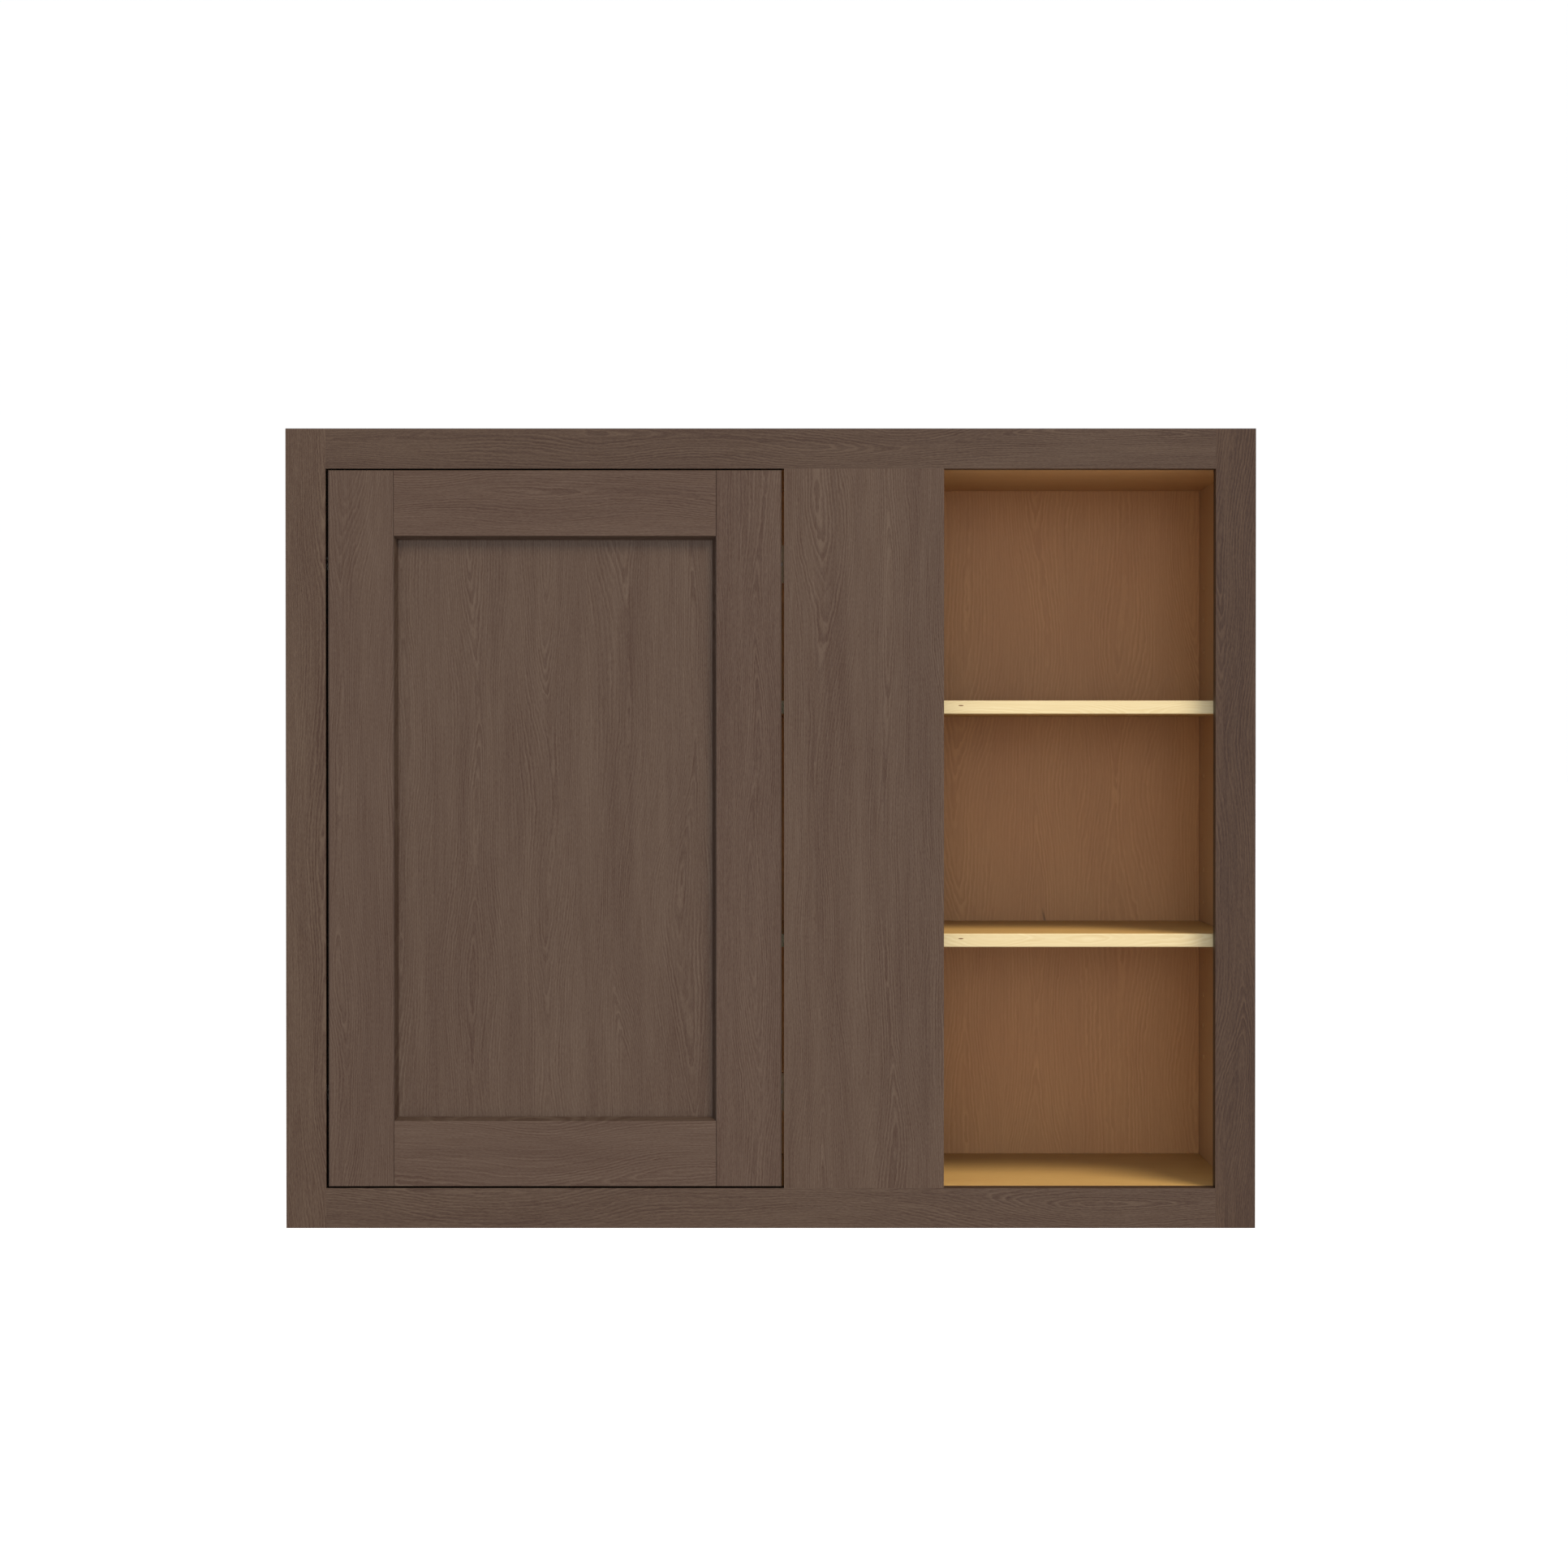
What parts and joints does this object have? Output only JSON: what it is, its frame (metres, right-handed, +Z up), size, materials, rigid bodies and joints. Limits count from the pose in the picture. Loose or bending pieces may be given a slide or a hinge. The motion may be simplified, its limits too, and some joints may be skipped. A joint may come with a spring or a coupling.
{
  "type": "hanging wall cabinet",
  "caption": "Face-frame wall cabinet for a corner: inset recessed-panel door on concealed hinges, wide blind stile, and an open bay with adjustable shelves.",
  "frame": {"origin": "centre of the rear face, which goes against the wall", "axes": "+X to the right seen from the front, along the width; +Y towards the wall; +Z up"},
  "size_m": [0.924, 0.3048, 0.762],
  "materials": {
    "stained_wood": "taupe-brown stain under satin lacquer, straight grain with long arches",
    "maple_plywood": "clear-coated warm maple veneer plywood",
    "maple_band": "pale solid maple, clear satin coat",
    "nickel_steel": "nickel-plated pressed steel",
    "bumper_rubber": "translucent grey soft rubber"
  },
  "bodies": {
    "case": {"left_side_panel": "maple_plywood", "right_side_panel": "maple_plywood", "top_panel": "maple_plywood", "bottom_panel": "maple_plywood", "back_panel": "maple_plywood", "top_hanging_rail": "maple_plywood", "bottom_hanging_rail": "maple_plywood", "frame_left_stile": "stained_wood", "frame_right_stile": "stained_wood", "frame_blind_stile": "stained_wood", "frame_top_rail": "stained_wood", "frame_bottom_rail": "stained_wood", "upper_hinge_base_plate": "nickel_steel", "lower_hinge_base_plate": "nickel_steel", "upper_hinge_arm": "nickel_steel", "lower_hinge_arm": "nickel_steel", "upper_hinge_arm_screw": "nickel_steel", "lower_hinge_arm_screw": "nickel_steel", "upper_hinge_plate_screw_upper": "nickel_steel", "upper_hinge_plate_screw_lower": "nickel_steel", "lower_hinge_plate_screw_upper": "nickel_steel", "lower_hinge_plate_screw_lower": "nickel_steel", "upper_door_stop": "maple_plywood", "lower_door_stop": "maple_plywood", "upper_door_stop_bumper": "bumper_rubber", "lower_door_stop_bumper": "bumper_rubber", "upper_shelf_pin_left_front": "nickel_steel", "upper_shelf_pin_left_rear": "nickel_steel", "upper_shelf_pin_right_front": "nickel_steel", "upper_shelf_pin_right_rear": "nickel_steel", "lower_shelf_pin_left_front": "nickel_steel", "lower_shelf_pin_left_rear": "nickel_steel", "lower_shelf_pin_right_front": "nickel_steel", "lower_shelf_pin_right_rear": "nickel_steel"},
    "door": {"door_left_stile": "stained_wood", "door_right_stile": "stained_wood", "door_top_rail": "stained_wood", "door_bottom_rail": "stained_wood", "door_panel": "stained_wood", "upper_hinge_cup": "nickel_steel", "lower_hinge_cup": "nickel_steel", "upper_hinge_pivot_pin": "nickel_steel", "lower_hinge_pivot_pin": "nickel_steel", "upper_hinge_cup_screw_upper": "nickel_steel", "upper_hinge_cup_screw_lower": "nickel_steel", "lower_hinge_cup_screw_upper": "nickel_steel", "lower_hinge_cup_screw_lower": "nickel_steel"},
    "upper_shelf": {"upper_shelf": "maple_plywood", "upper_shelf_edge_band": "maple_band"},
    "lower_shelf": {"lower_shelf": "maple_plywood", "lower_shelf_edge_band": "maple_band"}
  },
  "joints": [
    {"name": "door_swing", "type": "hinge", "parent": "case", "child": "door", "pos_m": [-0.40698, -0.2966, 0], "axis": [0, 0, -1], "range_deg": [0, 100]},
    {"name": "upper_shelf_lift", "type": "slide", "parent": "case", "child": "upper_shelf", "axis": [0, 0, 1], "range_m": [0, 0.096]},
    {"name": "lower_shelf_lift", "type": "slide", "parent": "case", "child": "lower_shelf", "axis": [0, 0, 1], "range_m": [0, 0.096]}
  ]
}
